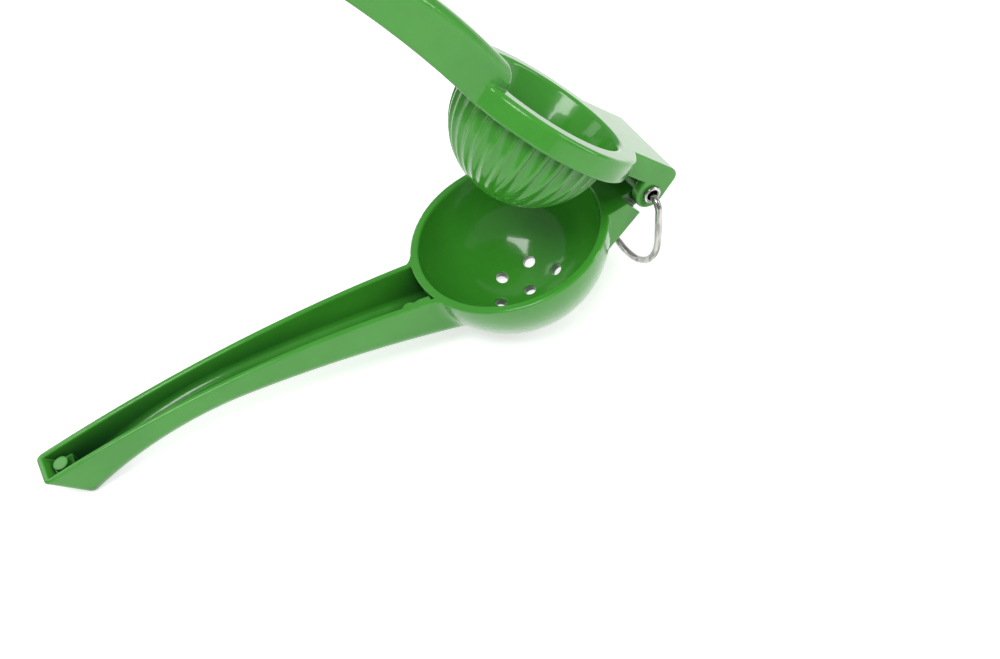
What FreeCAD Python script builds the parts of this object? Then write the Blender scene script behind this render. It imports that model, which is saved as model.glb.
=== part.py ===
import FreeCAD, Part
import math
import os

os.makedirs("parts", exist_ok=True)

Vec = FreeCAD.Vector
Y_AXIS = Vec(0, 1, 0)
Z_AXIS = Vec(0, 0, 1)
ORIGIN = Vec(0, 0, 0)

# A hinged lemon squeezer: a bowl arm and a press arm, both cast channels with an enamel coat,
# joined by a hollow steel rivet that also holds a wire loop to hang the tool by.
# Both arms are drawn shut, in the arm frame: origin at the bowl's centre, the bowl's rim at
# z = 0, +X towards the hinge, the handles along -X. Sizes are in mm.

# Bowl and its drain holes
bowl_radius = 35.0
bowl_wall = 3.0
drain_hole_radius = 2.25
drain_ring_angle = 21.0
drain_ring_count = 6

# Handles: both rims follow one arc that leaves the bowl's rim at the neck
rim_arc_radius = 402.0
crown_inset = 24.0
neck_inset = 2.0
shoulder_x = -68.0
waist_x = -101.0
tip_x = -170.0
end_run = 10.7
neck_half_width = 11.1
middle_half_width = 7.75
tip_half_width = 6.6
bowl_neck_depth = 18.2
press_neck_depth = 16.2
shoulder_depth = 14.9
waist_depth = 11.5
heel_depth = 17.0
handle_wall = 2.0
handle_floor = 2.4
back_edge_radius = 4.2
end_edge_radius = 2.0
channel_edge_radius = 2.4
neck_blend_radius = 4.0
rim_edge_radius = 0.7
bowl_rim_radius = 0.8

# Pad, post and bosses inside the bowl arm's channel
pad_reach = 0.4
pad_drop = 5.6
post_inset = 7.0
post_radius = 2.5
post_drop = 1.8
boss_x = -42.8
boss_radius = 2.4
boss_drop = 0.6
ledge_length = 5.4
ledge_width = 1.6

# Hinge
hinge_reach = 11.8
pin_z = -1.8
hinge_width = 35.2
ear_thickness = 3.1
ear_radius = 5.8
barrel_radius = 4.2
barrel_side_gap = 1.0
bracket_plate = 3.0
bracket_cheek = 5.9
bracket_foot_x = 26.3
bracket_foot_z = -15.4
notch_reach = 9.2
notch_run = 3.6
notch_fall = 6.9
hinge_edge_radius = 0.8

# Press ring, dome and flutes
shut_gap = 1.0
ring_inset = 0.4
ring_height = 8.0
ring_edge_radius = 1.5
ring_foot_radius = 1.0
mouth_radius = 1.5
squeeze_gap = 4.5
dome_centre_z = 0.2
dome_wall = 2.9
hollow_flare_angle = 13.0
flute_count = 32
flute_depth = 1.1
flute_tool_radius = 2.8
flute_fade_angle = 65.0
flute_start_angle = 6.0
flute_sweep_angle = 85.0
top_plate = 4.2
slab_rear_radius = 3.2

# Rivet and hanging loop
rivet_radius = 2.5
rivet_wall = 0.6
rivet_fit = 0.05
rivet_seat_gap = 0.1
flange_lip = 0.7
flange_height = 1.2
wire_radius = 1.25
wire_play = 0.05
loop_side_gap = 4.9
loop_leg = 15.0
loop_bend_radius = 4.0
loop_pin_reach = 3.4

# How far the press arm stands open
open_angle = 54.0

# Sizes that follow from the ones above
pin_x = bowl_radius + hinge_reach
ring_radius = bowl_radius - ring_inset
dome_radius = bowl_radius - bowl_wall - squeeze_gap
neck_x = neck_inset - bowl_radius
heel_x = tip_x + end_run
rim_crown_x = tip_x + crown_inset
pad_end_x = heel_x - pad_reach
post_x = tip_x + post_inset
half_hinge = hinge_width / 2
loop_half_width = half_hinge + loop_side_gap
flange_radius = rivet_radius + flange_lip
barrel_half = half_hinge - ear_thickness - barrel_side_gap
ring_bottom = shut_gap
ring_top = shut_gap + ring_height
root_x = neck_x + 13.0
rivet_bore_radius = rivet_radius - rivet_wall
rim_crown_z = rim_arc_radius - math.sqrt(rim_arc_radius ** 2 - (neck_x - rim_crown_x) ** 2)
flare = math.radians(hollow_flare_angle)
hollow_ball = dome_radius - dome_wall
cut_reach = 3 * bowl_radius
tiny = 0.01
heel_round = 0.5


def rim_height(x):
    """Height of the bowl arm's handle rim at x."""
    return rim_crown_z - rim_arc_radius + math.sqrt(rim_arc_radius ** 2 - (x - rim_crown_x) ** 2)


def circle_through(a, b, c):
    """Centre and radius of the circle through three points (u, v)."""
    (ax, ay), (bx, by), (cx, cy) = a, b, c
    d = 2 * (ax * (by - cy) + bx * (cy - ay) + cx * (ay - by))
    sa = ax * ax + ay * ay
    sb = bx * bx + by * by
    sc = cx * cx + cy * cy
    u = (sa * (by - cy) + sb * (cy - ay) + sc * (ay - by)) / d
    v = (sa * (cx - bx) + sb * (ax - cx) + sc * (bx - ax)) / d
    return u, v, math.hypot(ax - u, ay - v)


def xz(x, z):
    return Vec(x, 0, z)


def line(a, b):
    return Part.LineSegment(a, b).toShape()


def arc(a, b, c):
    return Part.Arc(a, b, c).toShape()


def prism(edges, start, length, direction):
    """Solid swept from a closed outline along one direction."""
    face = Part.Face(Part.Wire(edges))
    face.translate(direction * start)
    return face.extrude(direction * length)


def slab_y(edges, half_width):
    """Solid of a side-view outline, from -half_width to +half_width in Y."""
    return prism(edges, -half_width, 2 * half_width, Y_AXIS)


def polygon(points):
    """Edges of a closed outline through points."""
    return [line(a, b) for a, b in zip(points, points[1:] + points[:1])]


def block(x0, x1, y0, y1, z0, z1):
    return Part.makeBox(x1 - x0, y1 - y0, z1 - z0, Vec(x0, y0, z0))


def pin_cylinder(radius, half_length):
    """Cylinder on the hinge axis."""
    return Part.makeCylinder(radius, 2 * half_length, Vec(pin_x, -half_length, pin_z), Y_AXIS)


def round_edges(shape, radius, wanted):
    """Fillet the edges for which wanted(edge) is true."""
    edges = [e for e in shape.Edges if wanted(e)]
    if not edges:
        raise ValueError("no edge found for a fillet of %s" % radius)
    return shape.makeFillet(radius, edges)


def middle(edge):
    """Point half way along an edge."""
    return edge.valueAt((edge.FirstParameter + edge.LastParameter) / 2)


def tangent_arc(start, direction, end):
    """Arc that leaves start along direction and ends at end, in the side view."""
    normal = Vec(-direction.z, 0, direction.x)
    chord = end - start
    reach = chord.dot(chord) / (2 * normal.dot(chord))
    centre = start + normal * reach
    outward = (start + end) * 0.5 - centre
    outward.normalize()
    return arc(start, centre + outward * abs(reach), end)


class HandleSide:
    """Side view of one handle: side = -1 has its back below the rim, side = +1 above it."""

    def __init__(self, side, gap, neck_depth):
        self.side = side
        self.gap = gap
        self.neck_depth = neck_depth
        self.tip = xz(tip_x, self.rim(tip_x))
        self.heel = xz(heel_x, self.rim(heel_x) + side * heel_depth)
        self.end_run = self.tip - self.heel
        self.end_run.normalize()
        self.end_inward = Vec(-side * self.end_run.z, 0, side * self.end_run.x)

    def rim(self, x):
        return rim_height(x) + self.gap

    def back(self, inset, heel):
        """Edges of the back, from the root to the waist and on to the heel point."""
        stations = ((neck_x, self.neck_depth), (shoulder_x, shoulder_depth), (waist_x, waist_depth))
        points = [(x, self.rim(x) + self.side * (depth - inset)) for x, depth in stations]
        u, v, radius = circle_through(*points)
        root = xz(root_x, v + math.sqrt(radius ** 2 - (root_x - u) ** 2))
        neck = xz(*points[0])
        waist = xz(*points[2])
        along = xz(v - waist.z, waist.x - u)
        along.normalize()
        if along.x > 0:
            along = along * -1
        return [arc(root, neck, waist), tangent_arc(waist, along, heel)]

    def outline(self):
        """Closed outline of the whole handle."""
        rim_root = xz(root_x, self.rim(root_x))
        rim_middle = xz(waist_x, self.rim(waist_x))
        edges = self.back(0, self.heel)
        back_root = edges[0].Vertexes[0].Point
        rim = arc(self.tip, rim_middle, rim_root)
        return [rim, line(rim_root, back_root)] + edges + [line(self.heel, self.tip)]

    def channel(self, end_x, end_direction):
        """Closed outline of the hollow, open past the rim, that ends at end_x."""
        heel = xz(end_x, self.rim(end_x) + self.side * (heel_depth - handle_floor))
        edges = self.back(handle_floor, heel)
        back_root = edges[0].Vertexes[0].Point
        reach = (2 * heel_depth) / abs(end_direction.z)
        outer_end = heel + end_direction * reach
        outer_root = xz(root_x, outer_end.z)
        return edges + [line(heel, outer_end), line(outer_end, outer_root), line(outer_root, back_root)]


plan_stations = ((neck_x, neck_half_width), ((neck_x + tip_x) / 2, middle_half_width), (tip_x, tip_half_width))


def plan_circle(inset):
    """Circle of a handle's +Y side in the top view."""
    return circle_through(*[(x, w - inset) for x, w in plan_stations])


def handle_plan(inset):
    """Solid of the handle's top view, tall enough to cross both handles."""
    u, v, radius = plan_circle(inset)
    root_half = v - math.sqrt(radius ** 2 - (root_x - u) ** 2)
    sides = []
    for sign in (1, -1):
        sides.append([Vec(root_x, sign * root_half, 0)] + [Vec(x, sign * (w - inset), 0) for x, w in plan_stations])
    left, right = sides
    edges = [
        arc(left[0], left[2], left[3]),
        line(left[3], right[3]),
        arc(right[3], right[2], right[0]),
        line(right[0], left[0]),
    ]
    return prism(edges, -cut_reach, 2 * cut_reach, Z_AXIS)


def handle_blank(view):
    """Solid handle with its back and its end rounded."""
    blank = slab_y(view.outline(), cut_reach).common(handle_plan(0))

    def along_back(edge):
        point = middle(edge)
        on_rim = abs(point.z - view.rim(point.x)) < tiny
        return edge.BoundBox.XLength > 2 * heel_depth and not on_rim

    def around_end(edge):
        box = edge.BoundBox
        across_tip = box.XLength < tiny and abs(box.XMax - tip_x) < tiny
        return box.XMax < heel_x + heel_round and not across_tip

    blank = round_edges(blank, back_edge_radius, along_back)
    return round_edges(blank, end_edge_radius, around_end)


def handle_channel(outline):
    """Solid that hollows a handle, its floor edges rounded."""
    return slab_y(outline, cut_reach).common(handle_plan(handle_wall))


def bowl_blank():
    """Solid half ball, its flat face the rim."""
    ball = Part.makeSphere(bowl_radius)
    return ball.cut(block(-cut_reach, cut_reach, -cut_reach, cut_reach, 0, cut_reach))


def bracket():
    """Arm that carries the barrel: two full-width cheeks, notched for the ears, and a top plate."""
    notch_top = xz(pin_x - notch_reach, 0)
    notch_foot = xz(pin_x - notch_reach + notch_run, -notch_fall)
    foot = xz(bracket_foot_x, bracket_foot_z)
    inner_foot = xz(bowl_radius / 2, bracket_foot_z)
    inner_top = xz(bowl_radius / 2, 0)
    cheeks = slab_y(polygon([inner_top, notch_top, notch_foot, foot, inner_foot]), half_hinge)
    pin = xz(pin_x, pin_z)
    barrel_foot = xz(pin_x, pin_z - barrel_radius)
    web_top = xz(pin_x, 0)
    web = slab_y(polygon([inner_top, web_top, pin, barrel_foot, notch_foot, foot, inner_foot]), barrel_half)
    pocket = block(bowl_radius / 2, pin_x, bracket_cheek - half_hinge, half_hinge - bracket_cheek,
                   2 * bracket_foot_z, -bracket_plate)
    return cheeks.fuse(web).cut(pocket).fuse(pin_cylinder(barrel_radius, barrel_half))


def drain_holes():
    """Drills for the middle hole and the ring round it, each square to the bowl."""
    drills = [Part.makeCylinder(drain_hole_radius, bowl_radius + bowl_wall, ORIGIN, Vec(0, 0, -1))]
    tilt = math.radians(drain_ring_angle)
    for number in range(drain_ring_count):
        turn = 2 * math.pi * number / drain_ring_count
        towards = Vec(math.sin(tilt) * math.cos(turn), math.sin(tilt) * math.sin(turn), -math.cos(tilt))
        drills.append(Part.makeCylinder(drain_hole_radius, bowl_radius + bowl_wall, ORIGIN, towards))
    return drills


def bowl_channel(view):
    """Hollow of the bowl arm's handle: deep up to the pad, shallow over it."""
    deep = handle_channel(view.channel(pad_end_x, Z_AXIS))

    def floor_edge(edge):
        return edge.BoundBox.XLength > heel_depth and middle(edge).z < view.rim(middle(edge).x) - pad_drop

    deep = round_edges(deep, channel_edge_radius, floor_edge)
    pad_z = view.rim(post_x) - pad_drop
    wall_top = view.tip + view.end_inward * handle_wall
    wall_foot = wall_top - view.end_run * ((wall_top.z - pad_z) / view.end_run.z)
    wall_peak = wall_foot + view.end_run * (2 * heel_depth)
    shallow = polygon([wall_foot, wall_peak, xz(pad_end_x + handle_wall, wall_peak.z),
                       xz(pad_end_x + handle_wall, pad_z)])
    return deep.fuse(handle_channel(shallow)).cut(Part.makeSphere(bowl_radius))


def channel_fittings(view):
    """Post on the pad near the tip, and the boss and ledge on the channel wall by the bowl."""
    post_top = view.rim(post_x) - post_drop
    post = Part.makeCylinder(post_radius, pad_drop, Vec(post_x, 0, post_top - pad_drop))
    boss_top = view.rim(boss_x) - boss_drop
    wall_y = handle_wall - neck_half_width
    boss = Part.makeCylinder(boss_radius, heel_depth, Vec(boss_x, wall_y, boss_top - heel_depth))
    ledge = block(boss_x, boss_x + boss_radius + ledge_length, wall_y - handle_wall, wall_y + ledge_width,
                  boss_top - heel_depth, boss_top - boss_drop)
    return [post, boss, ledge]


def long_rim_edges(view, least_y, most_y):
    """Test for the long edges of a handle's rim that lie between two distances from its middle."""
    def wanted(edge):
        point = middle(edge)
        on_rim = edge.BoundBox.XLength > 2 * bowl_radius and abs(point.z - view.rim(point.x)) < tiny
        return on_rim and least_y < abs(point.y) < most_y
    return wanted


def bowl_rim_cutter(arm):
    """Tool that rounds the bowl's outer rim, between the two places where the handle blends in."""
    corners = [v.Point for v in arm.Vertexes if abs(v.Point.z) < tiny]
    on_rim = [p for p in corners if abs(math.hypot(p.x, p.y) - bowl_radius) < tiny]
    sweep = max(math.degrees(math.atan2(abs(p.y), p.x)) for p in on_rim)
    inner = bowl_radius - bowl_rim_radius
    outer = bowl_radius + bowl_wall
    bend = bowl_rim_radius * math.sqrt(0.5)
    top = xz(inner, 0)
    side = xz(bowl_radius, -bowl_rim_radius)
    edges = [
        arc(top, xz(inner + bend, bend - bowl_rim_radius), side),
        line(side, xz(outer, -bowl_rim_radius)),
        line(xz(outer, -bowl_rim_radius), xz(outer, bowl_wall)),
        line(xz(outer, bowl_wall), xz(inner, bowl_wall)),
        line(xz(inner, bowl_wall), top),
    ]
    half = Part.Face(Part.Wire(edges)).revolve(ORIGIN, Z_AXIS, sweep)
    return half.fuse(half.mirror(ORIGIN, Y_AXIS))


def make_bowl_arm():
    """Bowl, handle and hinge barrel in one casting."""
    view = HandleSide(-1, 0, bowl_neck_depth)
    arm = bowl_blank().fuse(handle_blank(view)).removeSplitter()

    def neck(edge):
        point = middle(edge)
        return abs(point.Length - bowl_radius) < tiny and point.x < root_x and point.z < -tiny

    def inner_rim(edge):
        box = edge.BoundBox
        return box.ZLength < tiny and abs(box.ZMax) < tiny and edge.Length > math.pi * bowl_radius

    arm = round_edges(arm, neck_blend_radius, neck)
    arm = round_edges(arm.cut(bowl_channel(view)), rim_edge_radius, long_rim_edges(view, 0, neck_half_width))
    arm = arm.cut(bowl_rim_cutter(arm)).fuse(bracket()).removeSplitter()
    inside = handle_blank(view)
    fittings = [piece.common(inside).cut(Part.makeSphere(bowl_radius)) for piece in channel_fittings(view)]
    arm = arm.fuse(fittings).cut([Part.makeSphere(bowl_radius - bowl_wall)] + drain_holes())
    arm = round_edges(arm, bowl_rim_radius, inner_rim)
    return arm.cut(pin_cylinder(rivet_radius + rivet_fit, cut_reach)).removeSplitter()


def flute_tools():
    """One ring of round-nosed cutters that leave flutes fading out towards the dome's pole."""
    shift = flute_depth / (1 - math.cos(math.radians(flute_fade_angle)))
    path_radius = dome_radius - flute_depth + flute_tool_radius + shift
    centre = Vec(-shift, 0, dome_centre_z)
    circle = Part.makeCircle(flute_tool_radius, Vec(path_radius - shift, 0, dome_centre_z), Z_AXIS)
    section = Part.Face(Part.Wire(circle))
    section.rotate(centre, Y_AXIS, -flute_start_angle)
    cutter = section.revolve(centre, Y_AXIS, flute_sweep_angle)
    tools = []
    for number in range(flute_count):
        tool = cutter.copy()
        tool.rotate(ORIGIN, Z_AXIS, 360.0 * (number + 0.5) / flute_count)
        tools.append(tool)
    return tools


def dome():
    """Fluted dome, still solid, with a short collar up into the ring."""
    collar = Part.makeCylinder(dome_radius, ring_height / 2, Vec(0, 0, dome_centre_z))
    ball = Part.makeSphere(dome_radius, Vec(0, 0, dome_centre_z))
    ball = ball.cut(block(-cut_reach, cut_reach, -cut_reach, cut_reach, dome_centre_z, cut_reach))
    return ball.fuse(collar).removeSplitter().cut(flute_tools())


def hollow_radius(z):
    """Radius of the hollow's flared wall at a height in the ring."""
    seam_z = dome_centre_z - hollow_ball * math.sin(flare)
    return hollow_ball * math.cos(flare) + (z - seam_z) * math.tan(flare)


def dome_hollow():
    """Smooth hollow: a round bottom that runs into a flared wall."""
    seam_z = dome_centre_z - hollow_ball * math.sin(flare)
    seam = xz(hollow_radius(seam_z), seam_z)
    mouth = xz(hollow_radius(cut_reach), cut_reach)
    pole = xz(0, dome_centre_z - hollow_ball)
    half = (math.pi / 2 + flare) / 2
    bend = xz(hollow_ball * math.cos(half), dome_centre_z - hollow_ball * math.sin(half))
    top = xz(0, mouth.z)
    edges = [arc(pole, bend, seam), line(seam, mouth), line(mouth, top), line(top, pole)]
    return Part.Face(Part.Wire(edges)).revolve(ORIGIN, Z_AXIS, 360)


def hinge_slab():
    """Flat slab behind the ring: a top plate and two cheeks that end in round ears."""
    rear_x = pin_x + ear_radius
    corners = [xz(0, ring_bottom), xz(0, ring_top), xz(rear_x, ring_top), xz(rear_x, pin_z), xz(pin_x, pin_z),
               xz(pin_x - ear_radius, pin_z), xz(pin_x - ear_radius, ring_bottom)]
    slab = slab_y(polygon(corners), half_hinge).fuse(pin_cylinder(ear_radius, half_hinge)).removeSplitter()

    def top_rear(edge):
        point = middle(edge)
        across = edge.BoundBox.YLength > half_hinge
        return across and abs(point.x - rear_x) < tiny and abs(point.z - ring_top) < tiny

    def side_outline(edge):
        box = edge.BoundBox
        on_side = box.YLength < tiny and abs(abs(box.YMax) - half_hinge) < tiny
        off_ring = box.XMax > tiny and abs(box.ZMax - ring_bottom) > tiny
        return on_side and off_ring and box.ZMin > pin_z - 2 * ear_radius

    slab = round_edges(slab, slab_rear_radius, top_rear)
    slab = round_edges(slab, hinge_edge_radius, side_outline)
    gap = block(0, 2 * pin_x, ear_thickness - half_hinge, half_hinge - ear_thickness,
                pin_z - 2 * ear_radius, ring_top - top_plate)
    return slab.cut(gap)


def round_ring_edges(shape, wanted):
    """Round the wanted edges at the ring's top and at its foot."""
    for height, radius in ((ring_top, ring_edge_radius), (ring_bottom, ring_foot_radius)):
        def level(edge):
            box = edge.BoundBox
            return wanted(edge) and box.ZLength < tiny and abs(box.ZMax - height) < tiny
        shape = round_edges(shape, radius, level)
    return shape


def press_ring():
    """Solid disc of the press ring, its outer edges rounded."""
    ring = Part.makeCylinder(ring_radius, ring_height, Vec(0, 0, ring_bottom))
    return round_ring_edges(ring, lambda edge: True)


def neck_blend(view):
    """Fill in the corner between the ring's wall and the handle's side walls."""
    u, v, radius = plan_circle(0)
    reach = ring_radius + neck_blend_radius
    side_reach = radius - neck_blend_radius
    span = math.hypot(u, v)
    along = (reach ** 2 - side_reach ** 2 + span ** 2) / (2 * span)
    across = math.sqrt(reach ** 2 - along ** 2)
    out = Vec(u / span, v / span, 0)
    centre = out * along + Vec(-out.y, out.x, 0) * across
    on_ring = centre * (ring_radius / reach)
    to_side = centre - Vec(u, v, 0)
    on_side = Vec(u, v, 0) + to_side * (radius / side_reach)
    to_root = Vec(root_x, 0, 0) - centre
    to_root.normalize()
    curve = arc(on_ring, centre + to_root * neck_blend_radius, on_side)
    side_foot = Vec(on_side.x, 0, 0)
    inside = on_ring * (1 - 2 * ring_edge_radius / ring_radius)
    ring_foot = Vec(inside.x, 0, 0)
    edges = [curve, line(on_side, side_foot), line(side_foot, ring_foot), line(ring_foot, inside),
             line(inside, on_ring)]
    half = prism(edges, ring_bottom, ring_height, Z_AXIS)

    def curved(edge):
        return isinstance(edge.Curve, Part.Circle)

    half = round_ring_edges(half, curved)
    return half.fuse(half.mirror(ORIGIN, Y_AXIS)).common(slab_y(view.outline(), cut_reach))


def press_handle(view):
    """Hollow handle of the press arm, all four long edges of its rim rounded."""
    outer_y = middle_half_width - tiny
    blank = round_edges(handle_blank(view), rim_edge_radius, long_rim_edges(view, outer_y, neck_half_width))
    keep_solid = Part.makeCylinder(ring_radius, 2 * cut_reach, Vec(0, 0, -cut_reach))
    channel = handle_channel(view.channel(heel_x - handle_wall, view.end_run)).cut(keep_solid)
    inner_y = middle_half_width - handle_wall / 2
    handle = round_edges(blank.cut(channel), rim_edge_radius, long_rim_edges(view, 0, inner_y))
    return handle.cut(block(-cut_reach, 0, -cut_reach, cut_reach, -cut_reach, ring_bottom))


def make_press_arm():
    """Press ring, fluted dome, handle and hinge ears in one casting, drawn shut."""
    view = HandleSide(1, shut_gap, press_neck_depth)
    arm = press_ring().fuse([press_handle(view), neck_blend(view), hinge_slab()]).removeSplitter()
    arm = arm.cut(dome_hollow())

    def mouth(edge):
        point = middle(edge)
        on_wall = abs(math.hypot(point.x, point.y) - hollow_radius(point.z)) < tiny
        return on_wall and point.z > ring_top - tiny and point.z < ring_top + press_neck_depth

    arm = round_edges(arm, mouth_radius, mouth)
    arm = arm.fuse(dome().cut(dome_hollow()))
    return arm.cut(pin_cylinder(rivet_radius + rivet_fit, cut_reach)).removeSplitter()


def make_hinge_rivet():
    """Tube through the ears and the barrel, both ends rolled over a flange."""
    seat = half_hinge + rivet_seat_gap
    lip = seat + flange_height
    lip_side = lip - (flange_radius - rivet_bore_radius) / 2
    lip_radius = (flange_radius + rivet_bore_radius) / 2

    def at(radius, y):
        return Vec(pin_x, y, pin_z + radius)

    edges = []
    for sign in (1, -1):
        edges += [
            arc(at(rivet_bore_radius, sign * lip_side), at(lip_radius, sign * lip),
                at(flange_radius, sign * lip_side)),
            line(at(flange_radius, sign * lip_side), at(flange_radius, sign * seat)),
            line(at(flange_radius, sign * seat), at(rivet_radius, sign * seat)),
        ]
    edges += [
        line(at(rivet_radius, seat), at(rivet_radius, -seat)),
        line(at(rivet_bore_radius, lip_side), at(rivet_bore_radius, -lip_side)),
    ]
    return Part.Face(Part.Wire(Part.__sortEdges__(edges))).revolve(xz(pin_x, pin_z), Y_AXIS, 360)


def make_hanging_loop(pin):
    """Wire loop that hangs plumb, its bent ends resting in the rivet's bore."""
    axis_z = pin.z - (rivet_bore_radius - wire_radius - wire_play)

    def at(y, drop):
        return Vec(pin.x, y, axis_z - drop)

    end_y = half_hinge - loop_pin_reach
    bend_y = loop_half_width - loop_bend_radius
    bend_mid = loop_bend_radius * math.sqrt(0.5)
    edges = []
    for sign in (-1, 1):
        bend_point = at(sign * (bend_y + bend_mid), loop_bend_radius - bend_mid)
        edges += [
            line(at(sign * end_y, 0), at(sign * bend_y, 0)),
            arc(at(sign * bend_y, 0), bend_point, at(sign * loop_half_width, loop_bend_radius)),
            line(at(sign * loop_half_width, loop_bend_radius), at(sign * loop_half_width, loop_leg)),
        ]
    edges.append(arc(at(-loop_half_width, loop_leg), at(0, loop_leg + loop_half_width),
                     at(loop_half_width, loop_leg)))
    path = Part.Wire(Part.__sortEdges__(edges))
    section = Part.Wire(Part.makeCircle(wire_radius, at(-end_y, 0), Y_AXIS))
    return path.makePipeShell([section], True, True)


def standing_tilt():
    """Angle by which the bowl arm noses down to rest on its ball and its handle's heel."""
    view = HandleSide(-1, 0, bowl_neck_depth)
    back = view.back(0, view.heel)[1]
    along = back.tangentAt(back.LastParameter)
    half_corner = (math.pi - along.getAngle(view.end_run)) / 2
    inward = view.end_run - along
    inward.normalize()
    centre = view.heel + inward * (end_edge_radius / math.sin(half_corner))
    reach = math.hypot(centre.x, centre.z)
    slope = math.atan2(centre.z, abs(centre.x))
    return math.degrees(slope + math.asin((bowl_radius - end_edge_radius) / reach))


# Stand the tool on its ball and heel, the press arm open, and centre it over the origin
tilt = standing_tilt()
pin = xz(pin_x, pin_z)
press_arm = make_press_arm()
press_arm.rotate(pin, Y_AXIS, open_angle)
parts = {"bowl_arm": make_bowl_arm(), "press_arm": press_arm, "hinge_rivet": make_hinge_rivet()}
for shape in parts.values():
    shape.rotate(ORIGIN, Y_AXIS, -tilt)
pin = FreeCAD.Rotation(Y_AXIS, -tilt).multVec(pin)
parts["hanging_loop"] = make_hanging_loop(pin)

boxes = [shape.optimalBoundingBox(False) for shape in parts.values()]
left = min(box.XMin for box in boxes)
right = max(box.XMax for box in boxes)
floor = min(box.ZMin for box in boxes)
for node, shape in parts.items():
    shape.translate(Vec(-(left + right) / 2, 0, -floor))
    shape.exportStep("parts/%s.step" % node)
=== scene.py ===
import math

import bpy
from mathutils import Euler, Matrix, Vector

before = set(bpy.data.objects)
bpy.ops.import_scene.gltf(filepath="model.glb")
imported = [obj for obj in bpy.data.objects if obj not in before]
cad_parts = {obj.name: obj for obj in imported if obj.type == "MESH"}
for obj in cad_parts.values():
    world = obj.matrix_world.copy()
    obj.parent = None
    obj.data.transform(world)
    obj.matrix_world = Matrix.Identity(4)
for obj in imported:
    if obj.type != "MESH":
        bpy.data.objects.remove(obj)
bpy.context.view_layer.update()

# Lengths are in metres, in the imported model's own frame.
MM = 0.001

# Camera at the photograph's viewing angle, fitted to the tool's own features. The turn is in
# degrees, the lens and sensor in millimetres.
CAMERA_PLACE = (-0.08260, -0.30214, 0.32807)
CAMERA_TURN = (44.194, 3.851, -27.631)
CAMERA_LENS = 46.8
SENSOR_WIDTH = 36.0
CAMERA_NEAR = 0.01

# Colours, linear.
WHITE = (1, 1, 1, 1)
PALE = (0.93, 0.93, 0.93, 1)
GREEN = (0.060, 0.352, 0.031, 1)
GREEN_DEEP = (0.044, 0.292, 0.025, 1)
# Painted highlight: a paler green laid on sharp edges.
GREEN_PAINTED_HIGHLIGHT = (0.098, 0.435, 0.054, 1)
# Painted shade: a near-black green laid in channels, corners and recesses.
GREEN_PAINTED_SHADE = (0.009, 0.060, 0.016, 1)
STEEL = (0.56, 0.55, 0.53, 1)
STEEL_DARK = (0.20, 0.195, 0.19, 1)

# Enamel. A size is the width of one grain, and a band is where a mask starts and ends.
EDGE_RADIUS = 0.8 * MM
# Where the painted highlight on sharp edges starts and ends.
PAINTED_HIGHLIGHT_BAND = (0.97, 0.80)
# How far the painted shade reaches into recesses, and where it starts and ends.
PAINTED_SHADE_REACH = 15 * MM
PAINTED_SHADE_BAND = (0.72, 0.15)
MOTTLE_SIZE = 16 * MM
MOTTLE_BAND = (0.35, 0.65)
MOTTLE_MOST = 0.55
GLOSS_SIZE = 5 * MM
GLOSS_BAND = (0.3, 0.7)
GLOSS_ROUGHNESS = (0.13, 0.20)
RIPPLE_SIZE = 9 * MM
RIPPLE_HEIGHT = 0.22 * MM
RIPPLE_STRENGTH = 0.10
PEEL_SIZE = 1.4 * MM
PEEL_HEIGHT = 0.04 * MM
PEEL_STRENGTH = 0.12
BEVEL_SAMPLES = 6
# Samples for the ambient occlusion that places the painted shade.
PAINTED_SHADE_SAMPLES = 8

# Steel. A grain says how many times finer the lines are along x, y and z.
LINE_SIZE = 0.5 * MM
LINE_BAND = (0.3, 0.7)
LINE_ROUGHNESS = (0.10, 0.24)
LINE_HEIGHT = 0.02 * MM
LINE_STRENGTH = 0.15
BLOTCH_SIZE = 4 * MM
BLOTCH_BAND = (0.42, 0.66)
RIVET_GRAIN = (1, 6, 1)
WIRE_GRAIN = (4, 1, 0.4)

# Studio. The floor and the world are lifted to white only where the camera sees them, and the
# floor also in reflections.
FLOOR_SIZE = 6.0
FLOOR_LIFT = 0.60
WORLD_LEVEL = 0.40
WORLD_SEEN = 1.0

# Softboxes, all aimed at the tool's middle: name, place, width, height, watts.
LAMP_AIM = (0.04, 0, 0.06)
SOFTBOXES = (
    ("key", (-0.30, -0.35, 0.90), 0.50, 0.36, 5.2),
    ("side", (0.85, -0.45, 0.45), 0.16, 0.60, 2.4),
    ("rim", (-0.55, 0.70, 0.50), 0.25, 0.80, 1.1),
)

# The Mix node's colour sockets, whose names its other kinds of socket share.
MIX_FIRST, MIX_SECOND, MIX_RESULT = 6, 7, 2


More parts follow.
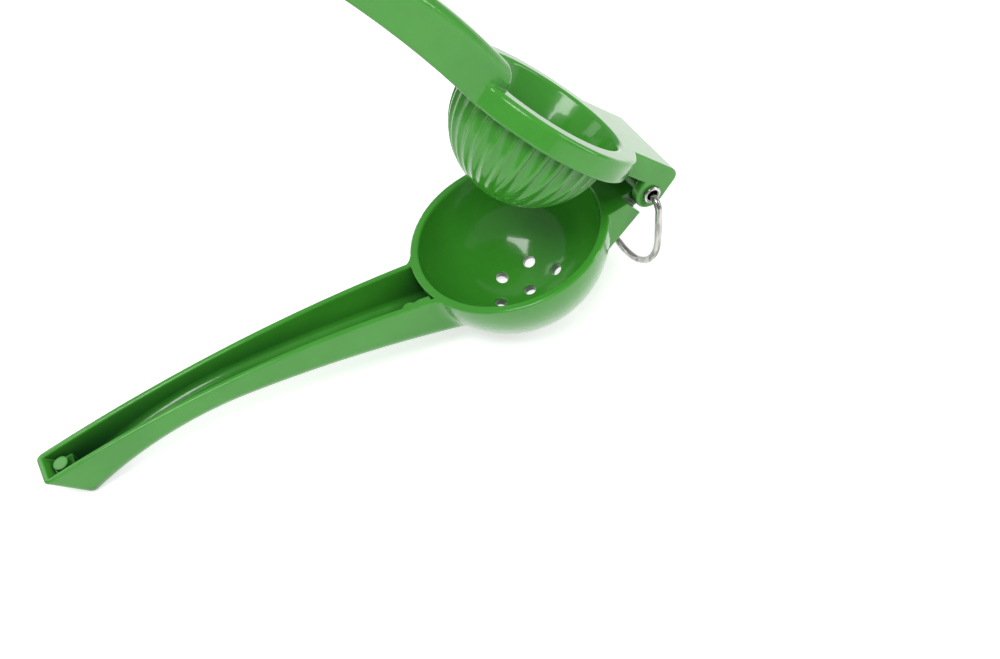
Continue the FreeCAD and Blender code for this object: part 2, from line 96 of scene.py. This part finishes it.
class Look:
    """One node material while it is built."""

    def __init__(self, name):
        self.material = bpy.data.materials.new(name)
        self.material.use_nodes = True
        self.tree = self.material.node_tree
        self.shader = self.tree.nodes["Principled BSDF"]
        self.place = self.tree.nodes.new("ShaderNodeTexCoord").outputs["Object"]

    def set(self, **values):
        """Give the shader's inputs fixed values."""
        for key, value in values.items():
            self.shader.inputs[key.replace("_", " ")].default_value = value

    def drive(self, name, source):
        """Let a source drive one of the shader's inputs."""
        self.link(source, self.shader.inputs[name])

    def link(self, source, target):
        self.tree.links.new(source, target)

    def noise(self, size, detail, grain=None):
        """Noise whose grains are about size wide, and finer by grain along x, y and z."""
        node = self.tree.nodes.new("ShaderNodeTexNoise")
        node.inputs["Scale"].default_value = 1 / size
        node.inputs["Detail"].default_value = detail
        source = self.place
        if grain:
            mapping = self.tree.nodes.new("ShaderNodeMapping")
            mapping.inputs["Scale"].default_value = grain
            self.link(self.place, mapping.inputs["Vector"])
            source = mapping.outputs["Vector"]
        self.link(source, node.inputs["Vector"])
        return node.outputs["Fac"]

    def remap(self, source, band, levels=(0.0, 1.0)):
        """Stretch a band of the source over the levels, and clamp what lies outside it."""
        node = self.tree.nodes.new("ShaderNodeMapRange")
        node.inputs["From Min"].default_value, node.inputs["From Max"].default_value = band
        node.inputs["To Min"].default_value, node.inputs["To Max"].default_value = levels
        self.link(source, node.inputs["Value"])
        return node.outputs["Result"]

    def mix(self, factor, first, second):
        """Blend two colours, each a value or a source."""
        node = self.tree.nodes.new("ShaderNodeMix")
        node.data_type = "RGBA"
        self.link(factor, node.inputs["Factor"])
        for value, index in ((first, MIX_FIRST), (second, MIX_SECOND)):
            if isinstance(value, tuple):
                node.inputs[index].default_value = value
            else:
                self.link(value, node.inputs[index])
        return node.outputs[MIX_RESULT]

    def bump(self, source, height, strength, below=None):
        """Normal raised by a source, over the normal below it where there is one."""
        node = self.tree.nodes.new("ShaderNodeBump")
        node.inputs["Distance"].default_value = height
        node.inputs["Strength"].default_value = strength
        self.link(source, node.inputs["Height"])
        if below:
            self.link(below, node.inputs["Normal"])
        return node.outputs["Normal"]

    def bevel(self, radius):
        """Normal that looks as if sharp edges were rounded by radius."""
        node = self.tree.nodes.new("ShaderNodeBevel")
        node.samples = BEVEL_SAMPLES
        node.inputs["Radius"].default_value = radius
        return node.outputs["Normal"]

    def painted_shade_mask(self, reach, band):
        """Mask for painted shade: 1 deep in channels and corners and 0 on open surface."""
        node = self.tree.nodes.new("ShaderNodeAmbientOcclusion")
        node.samples = PAINTED_SHADE_SAMPLES
        node.inputs["Distance"].default_value = reach
        return self.remap(node.outputs["AO"], band)

    def painted_highlight_mask(self, rounded, band):
        """Mask for painted highlight: 1 on sharp edges and 0 on open surface, by how far the
        rounded normal leans.
        """
        geometry = self.tree.nodes.new("ShaderNodeNewGeometry")
        dot = self.tree.nodes.new("ShaderNodeVectorMath")
        dot.operation = "DOT_PRODUCT"
        self.link(geometry.outputs["Normal"], dot.inputs[0])
        self.link(rounded, dot.inputs[1])
        return self.remap(dot.outputs["Value"], band)


def enamel(name):
    """Thick, glossy enamel: faint mottling and orange peel, with painted shade in recesses and
    painted highlight on sharp edges.
    """
    look = Look(name)
    look.set(IOR=1.45, Specular_IOR_Level=0.35, Coat_Weight=0.45, Coat_Roughness=0.03)
    rounded = look.bevel(EDGE_RADIUS)
    mottle = look.remap(look.noise(MOTTLE_SIZE, detail=3), MOTTLE_BAND, (0.0, MOTTLE_MOST))
    colour = look.mix(mottle, GREEN, GREEN_DEEP)
    # Painted shade: the near-black green mixed in where ambient occlusion finds channels and
    # corners.
    colour = look.mix(look.painted_shade_mask(PAINTED_SHADE_REACH, PAINTED_SHADE_BAND), colour, GREEN_PAINTED_SHADE)
    # Painted highlight: the paler green mixed in on sharp edges, where the bevel normal leans.
    colour = look.mix(look.painted_highlight_mask(rounded, PAINTED_HIGHLIGHT_BAND), colour, GREEN_PAINTED_HIGHLIGHT)
    gloss = look.remap(look.noise(GLOSS_SIZE, detail=3), GLOSS_BAND, GLOSS_ROUGHNESS)
    ripple = look.bump(look.noise(RIPPLE_SIZE, detail=1), RIPPLE_HEIGHT, RIPPLE_STRENGTH, rounded)
    peel = look.bump(look.noise(PEEL_SIZE, detail=2), PEEL_HEIGHT, PEEL_STRENGTH, ripple)
    look.drive("Base Color", colour)
    look.drive("Roughness", gloss)
    look.drive("Normal", peel)
    look.drive("Coat Normal", ripple)
    return look.material


def steel(name, grain):
    """Bright steel with fine lines and dull blotches, both drawn out by the grain."""
    look = Look(name)
    look.set(Metallic=1.0)
    lines = look.noise(LINE_SIZE, detail=4, grain=grain)
    blotch = look.remap(look.noise(BLOTCH_SIZE, detail=3, grain=grain), BLOTCH_BAND)
    look.drive("Base Color", look.mix(blotch, STEEL, STEEL_DARK))
    look.drive("Roughness", look.remap(lines, LINE_BAND, LINE_ROUGHNESS))
    look.drive("Normal", look.bump(lines, LINE_HEIGHT, LINE_STRENGTH))
    return look.material


def dress(node, material):
    """Give a CAD node its material."""
    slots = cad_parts[node].data.materials
    for index in range(len(slots)):
        slots[index] = material


def add_floor():
    """Large pale floor, which still shows the tool's shadow."""
    half = FLOOR_SIZE / 2
    corners = [(-half, -half, 0), (half, -half, 0), (half, half, 0), (-half, half, 0)]
    mesh = bpy.data.meshes.new("studio_floor")
    mesh.from_pydata(corners, [], [range(len(corners))])
    floor = bpy.data.objects.new("studio_floor", mesh)
    bpy.context.collection.objects.link(floor)

    look = Look("studio_floor")
    look.set(Base_Color=PALE, Roughness=0.8, Specular_IOR_Level=0.1, Emission_Color=WHITE)
    path = look.tree.nodes.new("ShaderNodeLightPath")
    seen = look.tree.nodes.new("ShaderNodeMath")
    seen.operation = "MAXIMUM"
    look.link(path.outputs["Is Camera Ray"], seen.inputs[0])
    look.link(path.outputs["Is Glossy Ray"], seen.inputs[1])
    look.drive("Emission Strength", look.remap(seen.outputs[0], (0.0, 1.0), (0.0, FLOOR_LIFT)))
    mesh.materials.append(look.material)


def add_world():
    """Even white surroundings, at full level only where the camera sees them."""
    world = bpy.data.worlds.new("studio_world")
    bpy.context.scene.world = world
    world.use_nodes = True
    tree = world.node_tree
    background = tree.nodes["Background"]
    background.inputs["Color"].default_value = WHITE
    path = tree.nodes.new("ShaderNodeLightPath")
    level = tree.nodes.new("ShaderNodeMapRange")
    level.inputs["To Min"].default_value = WORLD_LEVEL
    level.inputs["To Max"].default_value = WORLD_SEEN
    tree.links.new(path.outputs["Is Camera Ray"], level.inputs["Value"])
    tree.links.new(level.outputs["Result"], background.inputs["Strength"])


def add_softbox(name, place, width, height, watts):
    """Rectangular area lamp turned to the tool's middle."""
    light = bpy.data.lights.new(name, "AREA")
    light.shape = "RECTANGLE"
    light.size = width
    light.size_y = height
    light.energy = watts
    lamp = bpy.data.objects.new(name, light)
    lamp.location = place
    direction = Vector(LAMP_AIM) - Vector(place)
    lamp.rotation_euler = direction.to_track_quat("-Z", "Y").to_euler()
    bpy.context.collection.objects.link(lamp)


def add_camera():
    """The photograph's camera."""
    data = bpy.data.cameras.new("camera")
    data.sensor_width = SENSOR_WIDTH
    data.lens = CAMERA_LENS
    data.clip_start = CAMERA_NEAR
    camera = bpy.data.objects.new("camera", data)
    camera.location = CAMERA_PLACE
    camera.rotation_euler = Euler([math.radians(turn) for turn in CAMERA_TURN], "XYZ")
    bpy.context.collection.objects.link(camera)
    bpy.context.scene.camera = camera


add_camera()
add_floor()
add_world()
for softbox in SOFTBOXES:
    add_softbox(*softbox)

green = enamel("green_enamel")
dress("bowl_arm", green)
dress("press_arm", green)
dress("hinge_rivet", steel("rivet_steel", RIVET_GRAIN))
dress("hanging_loop", steel("wire_steel", WIRE_GRAIN))

bpy.context.scene.view_settings.view_transform = "Standard"
